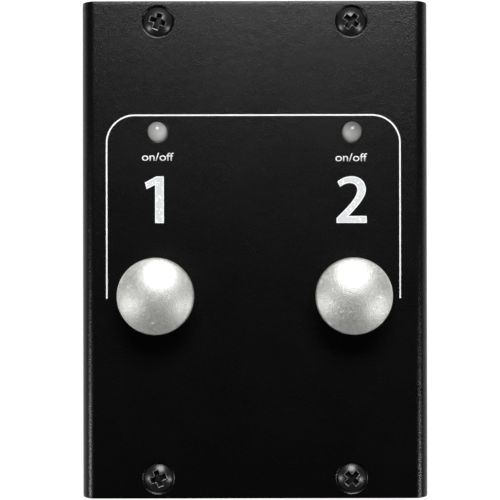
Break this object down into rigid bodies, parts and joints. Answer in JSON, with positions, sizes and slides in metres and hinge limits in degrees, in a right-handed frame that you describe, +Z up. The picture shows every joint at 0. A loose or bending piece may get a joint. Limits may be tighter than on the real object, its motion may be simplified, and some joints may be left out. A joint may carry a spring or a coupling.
{
  "type": "amplifier footswitch",
  "caption": "Flat black metal footswitch for an amplifier, with domed silver latching foot buttons, indicator lamps above them and a jack socket in the rear wall.",
  "frame": {"origin": "on the floor under the feet, in the middle of the whole outline, jack bushing included", "axes": "+X to the player's right, +Y to the rear where the jack is, +Z up out of the top face"},
  "size_m": [0.0904, 0.1322, 0.0537],
  "materials": {
    "case_black": "black powder coat, satin",
    "black_steel": "black oxide, semi-gloss",
    "rubber": "matt black",
    "zinc_steel": "zinc plated",
    "satin_cap": "satin, fine grained",
    "plunger_steel": "turned",
    "spring_steel": "drawn wire",
    "blue_moulding": "moulded",
    "ivory_nylon": "moulded",
    "brown_laminate": "moulded",
    "contact_brass": "plain",
    "nickel": "bright nickel",
    "black_nylon": "moulded",
    "lamp_lens": "milky grey, polished",
    "green_board": "solder mask",
    "resistor_tan": "lacquer",
    "red_wire": "extruded sleeve"
  },
  "bodies": {
    "case": {"top_cover": "case_black", "base_chassis": "case_black", "cover_screws": "black_steel", "rubber_feet": "rubber", "foot_screws": "zinc_steel", "foot_nuts": "zinc_steel", "switch_frame_1": "zinc_steel", "switch_frame_2": "zinc_steel", "switch_housing_1": "blue_moulding", "switch_housing_2": "blue_moulding", "return_spring_1": "spring_steel", "return_spring_2": "spring_steel", "terminal_base_1": "brown_laminate", "terminal_base_2": "brown_laminate", "terminals_1": "contact_brass", "terminals_2": "contact_brass", "panel_nuts": "nickel", "panel_washers": "black_nylon", "lock_washers": "zinc_steel", "back_nuts": "nickel", "led_lens_1": "lamp_lens", "led_lens_2": "lamp_lens", "led_leads": "zinc_steel", "led_spacers": "black_nylon", "circuit_board": "green_board", "resistors": "resistor_tan", "jack_housing": "black_nylon", "jack_bushing": "nickel", "jack_washer": "nickel", "jack_nut": "nickel", "jack_contacts": "contact_brass", "jack_wires": "red_wire"},
    "button_1": {"button_cap_1": "satin_cap", "plunger_1": "plunger_steel"},
    "button_2": {"button_cap_2": "satin_cap", "plunger_2": "plunger_steel"},
    "rotor_1": {"ratchet_rotor_1": "ivory_nylon", "rotor_contacts_1": "contact_brass"},
    "rotor_2": {"ratchet_rotor_2": "ivory_nylon", "rotor_contacts_2": "contact_brass"}
  },
  "joints": [
    {"name": "press_1", "type": "slide", "parent": "case", "child": "button_1", "axis": [0, 0, -1], "range_m": [0, 0.0035], "stiffness_N_per_m": 2500, "springref_m": -0.003, "deforming": ["return_spring_1"]},
    {"name": "press_2", "type": "slide", "parent": "case", "child": "button_2", "axis": [0, 0, -1], "range_m": [0, 0.0035], "stiffness_N_per_m": 2500, "springref_m": -0.003, "deforming": ["return_spring_2"]},
    {"name": "turn_1", "type": "hinge", "parent": "case", "child": "rotor_1", "pos_m": [-0.0252, -0.0131, 0.0212], "axis": [0, 0, 1], "continuous": true},
    {"name": "turn_2", "type": "hinge", "parent": "case", "child": "rotor_2", "pos_m": [0.0252, -0.0131, 0.0212], "axis": [0, 0, 1], "continuous": true}
  ],
  "couplings": [
    {"joint": "turn_1", "follows": "press_1", "rad_per_m": 448},
    {"joint": "turn_2", "follows": "press_2", "rad_per_m": 448}
  ]
}
